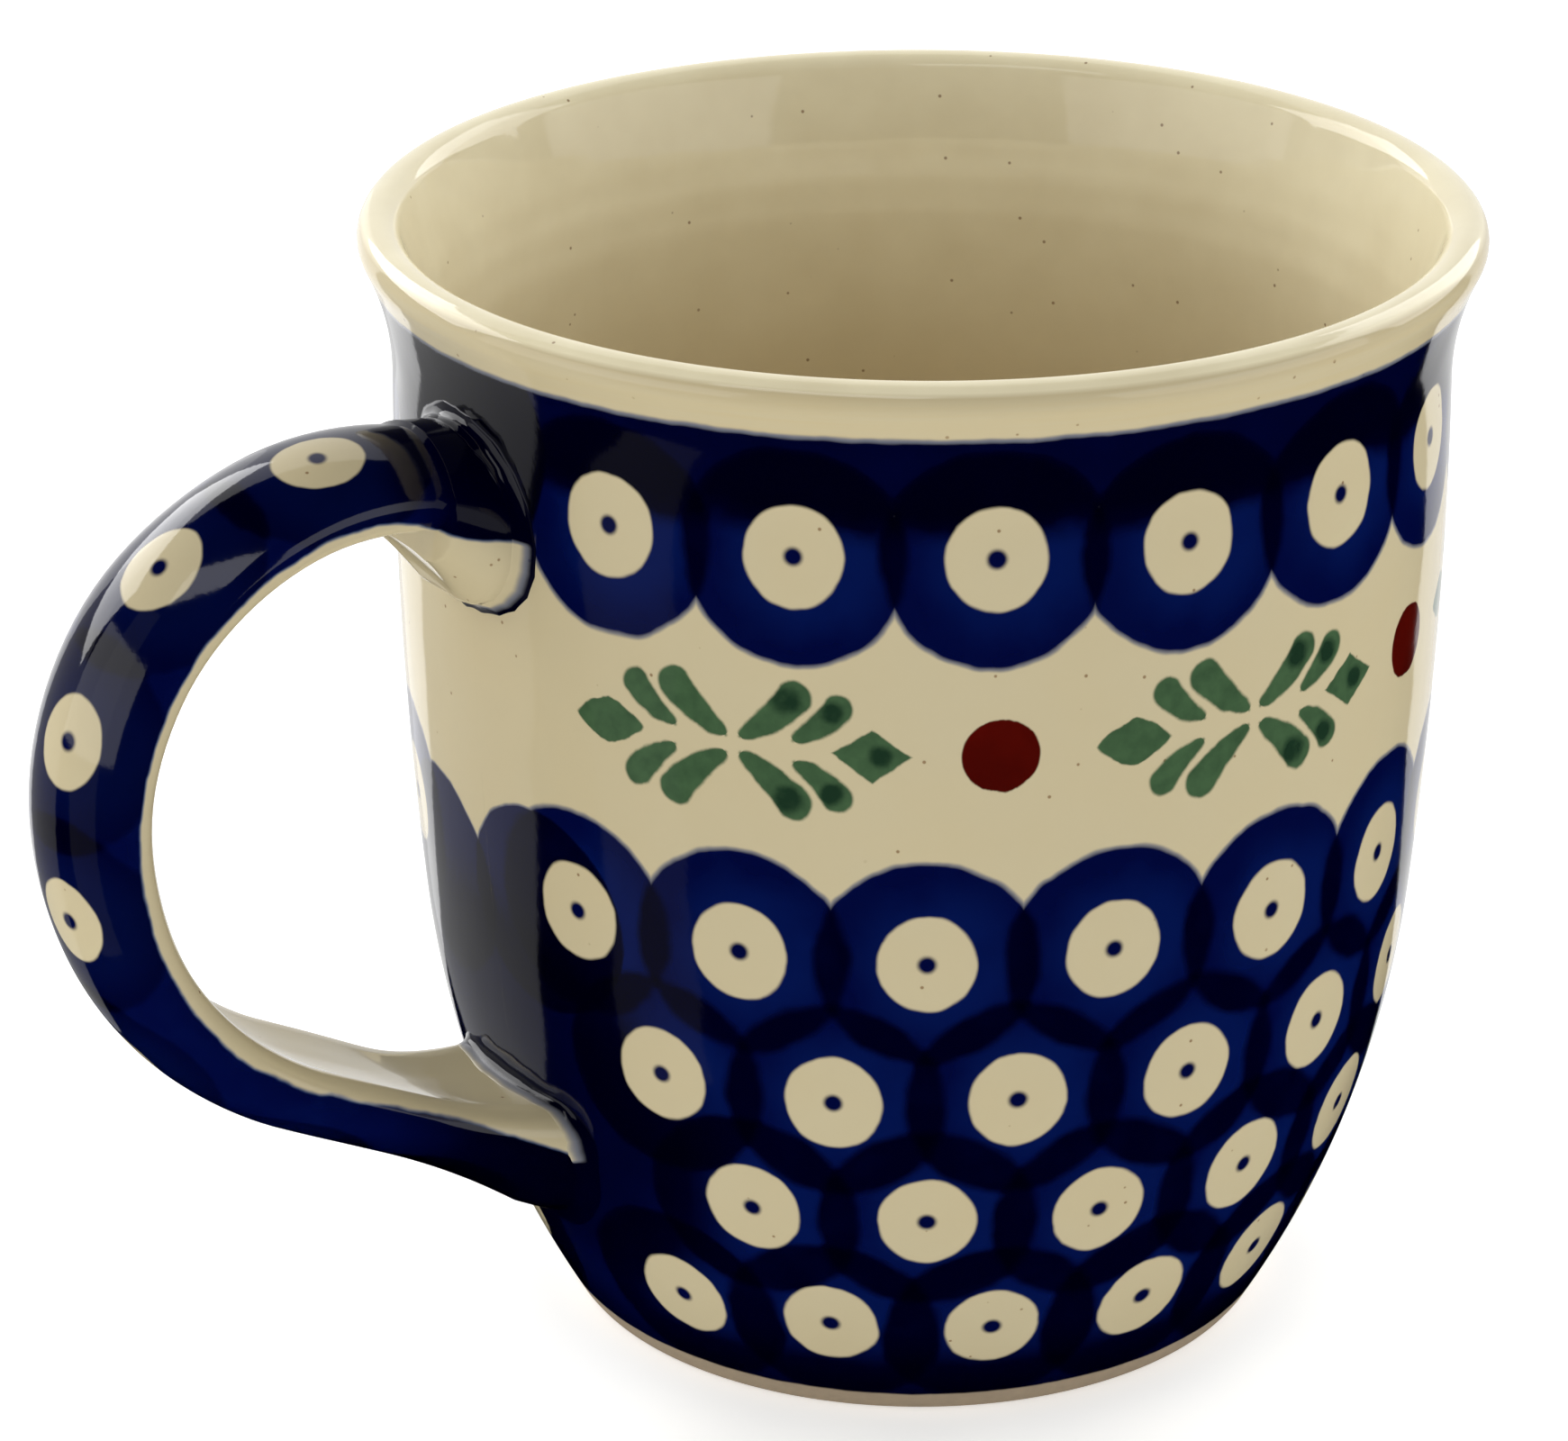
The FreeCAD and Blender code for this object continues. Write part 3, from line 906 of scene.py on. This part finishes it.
# eyes along the handle, measured on its crest from the upper joint; the first four lie HANDLE_SLIDE to the
# near side, and then the line swings back by HANDLE_SWING
HANDLE_FIRST_EYE = 14.5
HANDLE_STEP = 15.4
HANDLE_EYES = 8
HANDLE_SLIDE = 2.2
HANDLE_SWING = 4.2
# layers of blue: a stamp, the plain coat, and the painted shade that darkens the blue near the upper and
# the lower joint
HANDLE_STAMP = 0.9
HANDLE_COAT = 0.7
FIRST_END_SHADE = 1.6
LAST_END_SHADE = 1.9
# how far the cream comes up the handle's side, from its centreline: on the loop and at the two joints
CREAM_EDGE = -0.9
CREAM_UPPER = -2.7
CREAM_LOWER = -1.9
# how far across the slip the glaze is drawn thin enough for cream at the two joints, as a share
UPPER_DRAWN = 0.5
LOWER_DRAWN = 0.25
LUTE_SHINE = 0.28
GLAZE_SHINE = 0.5
THICK_GLAZE_LOSS = 0.36


def handle_colour(tree, place, total):
    """Blue over the round back with a line of eyes, and cream on the side that faces the cup."""
    along, way, up = read(tree, "grip")
    wobble = cloud(tree, place, 0.35, 2.0, 1.0)
    cloudy = cloud(tree, place, 0.22, 4.0, 9.0)
    cell = ((along - HANDLE_FIRST_EYE) / HANDLE_STEP).apply("ROUND").high(0.0).low(HANDLE_EYES - 1.0)
    stamps, counts = [], []
    for neighbour in (0.0, -1.0, 1.0):
        number = cell + neighbour
        counts.append(below((number - (HANDLE_EYES - 1) / 2).size(), HANDLE_EYES / 2, 0.1))
        slide = (chance(tree, number, 40.5) - 0.5) * 0.6
        near = below(number, 3.5, 0.4) * HANDLE_SWING + (HANDLE_SLIDE - HANDLE_SWING)
        run = along - HANDLE_FIRST_EYE - number * HANDLE_STEP
        stamps.append(stamp(way - near + slide, run + slide, HANDLE_EYE, wobble, slide))
    _, thick, eye, pupil, glow = gather(stamps, counts)
    # painted shade: the handle's blue is darker where it runs into the wall at either joint
    first_end_shade = below(along, 7.0, 10.0)
    last_end_shade = below(along * -1.0, 14.0 - total, 24.0)
    layers = thick * HANDLE_STAMP + HANDLE_COAT
    layers = layers + first_end_shade * FIRST_END_SHADE + last_end_shade * LAST_END_SHADE
    blue = blue_glaze(tree, layers, glow, cloudy)
    cream = cream_glaze(tree, place, CREAM)
    drop = below(along, 8.0, 12.0) * (CREAM_UPPER - CREAM_EDGE)
    drop = drop + below(along * -1.0, 26.0 - total, 30.0) * (CREAM_LOWER - CREAM_EDGE)
    edge = up - drop + wobble * 0.35
    colour = mix(tree, eye, blue, cream)
    colour = mix(tree, pupil, colour, COBALT)
    colour = mix(tree, below(edge, CREAM_EDGE, 0.25), colour, cream)
    return mix(tree, below((edge - CREAM_EDGE).size(), 0.12, 0.2) * 0.5, colour, FRINGE)


def handle_material(total):
    """The handle's glaze, which is a little less glossy where it is thick at the upper joint."""
    material, tree, shader = new_material("stamped_handle_glaze")
    place = object_place(tree)
    colour = handle_colour(tree, place, total)
    tree.links.new(colour, shader.inputs["Base Color"])
    glaze_surface(tree, shader, place)
    along = read(tree, "grip")[0]
    shine = below(along, 9.0, 6.0) * -THICK_GLAZE_LOSS + GLAZE_SHINE
    plug(tree, shader.inputs["Specular IOR Level"], shine)
    return material


def lute_material(name, edge, drawn):
    """Glaze over the slip in the corner: it takes the blue above the line and the cream below it."""
    material, tree, shader = new_material(name)
    place = object_place(tree)
    across, _, up = read(tree, "grip")
    wobble = cloud(tree, place, 0.35, 2.0, 1.0)
    cream = cream_glaze(tree, place, CREAM)
    dark = mix(tree, (wobble * 0.5 + 0.5).unit(), NAVY, NIGHT)
    thin = below(across + wobble * 0.12, drawn, 0.5)
    pale = below(up + wobble * 0.35, edge, 0.4) * thin
    colour = mix(tree, pale, dark, cream)
    colour = mix(tree, pale * pale.inverse() * 2.0, colour, FRINGE)
    tree.links.new(colour, shader.inputs["Base Color"])
    shader.inputs["Specular IOR Level"].default_value = LUTE_SHINE
    glaze_surface(tree, shader, place)
    return material


def floor_material():
    """Nearly white, with a faint glow of its own so that it fades into the background."""
    material, tree, shader = new_material("pale_floor")
    place = object_place(tree)
    tone = cloud(tree, place, 0.004, 2.0, 0.0)
    colour = mix(tree, (tone * 0.5 + 0.5).unit(), tint(250, 250, 250), tint(254, 254, 254))
    tree.links.new(colour, shader.inputs["Base Color"])
    shader.inputs["Roughness"].default_value = 0.9
    shader.inputs["Emission Color"].default_value = (1.0, 1.0, 1.0, 1.0)
    shader.inputs["Emission Strength"].default_value = FLOOR_GLOW
    return material


# ---------------------------------------------------------------- stage

CAMERA_TURN = 236.0
CAMERA_DISTANCE = 430.0
CAMERA_HEIGHT = 231.12
CAMERA_PAN = -1.501
CAMERA_TILT = 22.93
CAMERA_ROLL = -0.183
LENS = 127.0
SENSOR = 36.0
WORLD_STRENGTH = 0.44
FLOOR_GLOW = 0.42
FLOOR_SIZE = 60.0


def on_circle(turn, distance, height):
    angle = math.radians(turn)
    return Vector((math.cos(angle) * distance, math.sin(angle) * distance, height)) * MM


def make_camera():
    data = bpy.data.cameras.new("camera")
    camera = bpy.data.objects.new("camera", data)
    bpy.context.scene.collection.objects.link(camera)
    data.lens = LENS
    data.sensor_width = SENSOR
    data.clip_start = 0.01
    heading = math.radians(CAMERA_TURN - 270.0 - CAMERA_PAN)
    turn = Matrix.Rotation(heading, 4, "Z") @ Matrix.Rotation(math.radians(90 - CAMERA_TILT), 4, "X")
    turn = turn @ Matrix.Rotation(math.radians(CAMERA_ROLL), 4, "Z")
    camera.matrix_world = Matrix.Translation(on_circle(CAMERA_TURN, CAMERA_DISTANCE, CAMERA_HEIGHT)) @ turn
    bpy.context.scene.camera = camera


def soft_box(name, turn, distance, height, width, tall, radiance, aim=0.0, shape="RECTANGLE"):
    """An even panel of light that faces the mug; turn is from the camera's side, in degrees."""
    data = bpy.data.lights.new(name, "AREA")
    data.shape = shape
    data.size = width * MM
    data.size_y = tall * MM
    data.energy = radiance * math.pi * data.size * data.size_y
    light = bpy.data.objects.new(name, data)
    bpy.context.scene.collection.objects.link(light)
    light.location = on_circle(CAMERA_TURN + turn, distance, height)
    aim_at = Vector((0, 0, aim)) * MM - light.location
    light.rotation_euler = aim_at.to_track_quat("-Z", "Y").to_euler()
    light.visible_camera = False


def make_lights():
    world = bpy.data.worlds.new("studio")
    bpy.context.scene.world = world
    world.use_nodes = True
    background = world.node_tree.nodes["Background"]
    background.inputs["Color"].default_value = (1.0, 0.985, 0.96, 1.0)
    background.inputs["Strength"].default_value = WORLD_STRENGTH
    world.cycles_visibility.glossy = False
    # turn, distance and height of the panel, its width and height, its radiance, and the height it faces
    soft_box("backdrop", 180.0, 700.0, 250.0, 1500.0, 1500.0, 0.9, 60.0)
    soft_box("left_card", -122.0, 300.0, 20.0, 440.0, 500.0, 0.27, 20.0, "ELLIPSE")
    soft_box("front_card", -60.0, 300.0, 60.0, 115.0, 500.0, 0.1, 60.0)
    soft_box("left_box", -64.0, 700.0, 260.0, 800.0, 380.0, 0.98, 60.0)
    soft_box("right_box", 66.0, 700.0, 260.0, 800.0, 380.0, 1.04, 60.0)
    soft_box("left_back_box", -125.0, 700.0, 420.0, 700.0, 380.0, 3.6, 60.0)
    soft_box("right_back_box", 128.0, 700.0, 420.0, 700.0, 500.0, 2.2, 60.0)
    soft_box("top_box", -25.0, 400.0, 600.0, 400.0, 130.0, 1.7, 60.0)


def make_floor():
    bpy.ops.mesh.primitive_plane_add(size=FLOOR_SIZE)
    floor = bpy.context.object
    floor.name = "floor"
    floor.data.materials.append(floor_material())
    floor.visible_glossy = False


def main():
    upper, lower = make_arms()
    total = handle_rings(upper, lower)[1]
    make_cup(cup_material())
    make_handle(upper, lower, handle_material(total))
    upper_glaze = lute_material("upper_slip_glaze", CREAM_UPPER, UPPER_DRAWN)
    make_lute("upper_joint_slip", "upper_handle_lute", upper, 0.0, upper_glaze)
    lower_glaze = lute_material("lower_slip_glaze", CREAM_LOWER, LOWER_DRAWN)
    make_lute("lower_joint_slip", "lower_handle_lute", lower, 50.0, lower_glaze)
    make_camera()
    make_lights()
    make_floor()
    bpy.context.scene.view_settings.view_transform = "Standard"


main()
